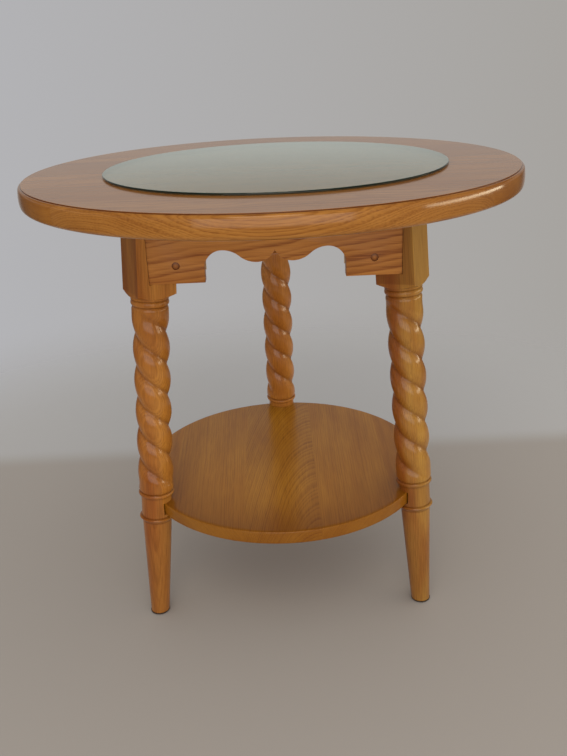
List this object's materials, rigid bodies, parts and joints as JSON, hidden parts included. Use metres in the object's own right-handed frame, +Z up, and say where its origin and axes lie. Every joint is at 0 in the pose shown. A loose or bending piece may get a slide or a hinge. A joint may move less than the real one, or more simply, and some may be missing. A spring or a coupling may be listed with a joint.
{
  "type": "round table",
  "caption": "Round occasional table with a moulded wood top, loose glass disc, splayed barley-twist legs, scalloped aprons and a round lower shelf.",
  "frame": {"origin": "on the floor under the middle of the round top", "axes": "+Z up from the floor; -Y is the front, the side between two legs with a shown apron; +X is the right as seen from the front"},
  "size_m": [0.66, 0.66, 0.6322],
  "materials": {
    "top_wood": "clear gloss lacquer over stained oak",
    "shelf_wood": "clear gloss lacquer over stained oak",
    "leg_wood": "clear gloss lacquer over stained turned wood",
    "apron_wood": "clear gloss lacquer over stained oak",
    "block_wood": "planed and unfinished",
    "plug_wood": "lacquered end-grain plug",
    "clear_glass": "clear float glass with a pencil edge",
    "screw_steel": "yellow zinc",
    "zinc_steel": "bright zinc",
    "glide_plastic": "moulded dark brown plastic on a steel nail"
  },
  "bodies": {
    "frame": {"top_board_1": "top_wood", "top_board_2": "top_wood", "top_board_3": "top_wood", "top_board_4": "top_wood", "top_board_5": "top_wood", "top_board_6": "top_wood", "shelf_board_1": "shelf_wood", "shelf_board_2": "shelf_wood", "shelf_board_3": "shelf_wood", "shelf_board_4": "shelf_wood", "shelf_board_5": "shelf_wood", "leg_front_left": "leg_wood", "leg_front_right": "leg_wood", "leg_rear": "leg_wood", "apron_front": "apron_wood", "apron_right": "apron_wood", "apron_left": "apron_wood", "corner_block_front_left": "block_wood", "corner_block_front_right": "block_wood", "corner_block_rear": "block_wood", "screw_plugs": "plug_wood", "apron_screws": "screw_steel", "top_screws": "screw_steel", "leg_lag_screws": "zinc_steel", "lag_washers": "zinc_steel", "foot_glides": "glide_plastic"},
    "glass": {"glass_disc": "clear_glass"}
  },
  "joints": [
    {"name": "glass_lift", "type": "slide", "parent": "frame", "child": "glass", "axis": [0, 0, 1], "range_m": [0, 0.15]}
  ]
}
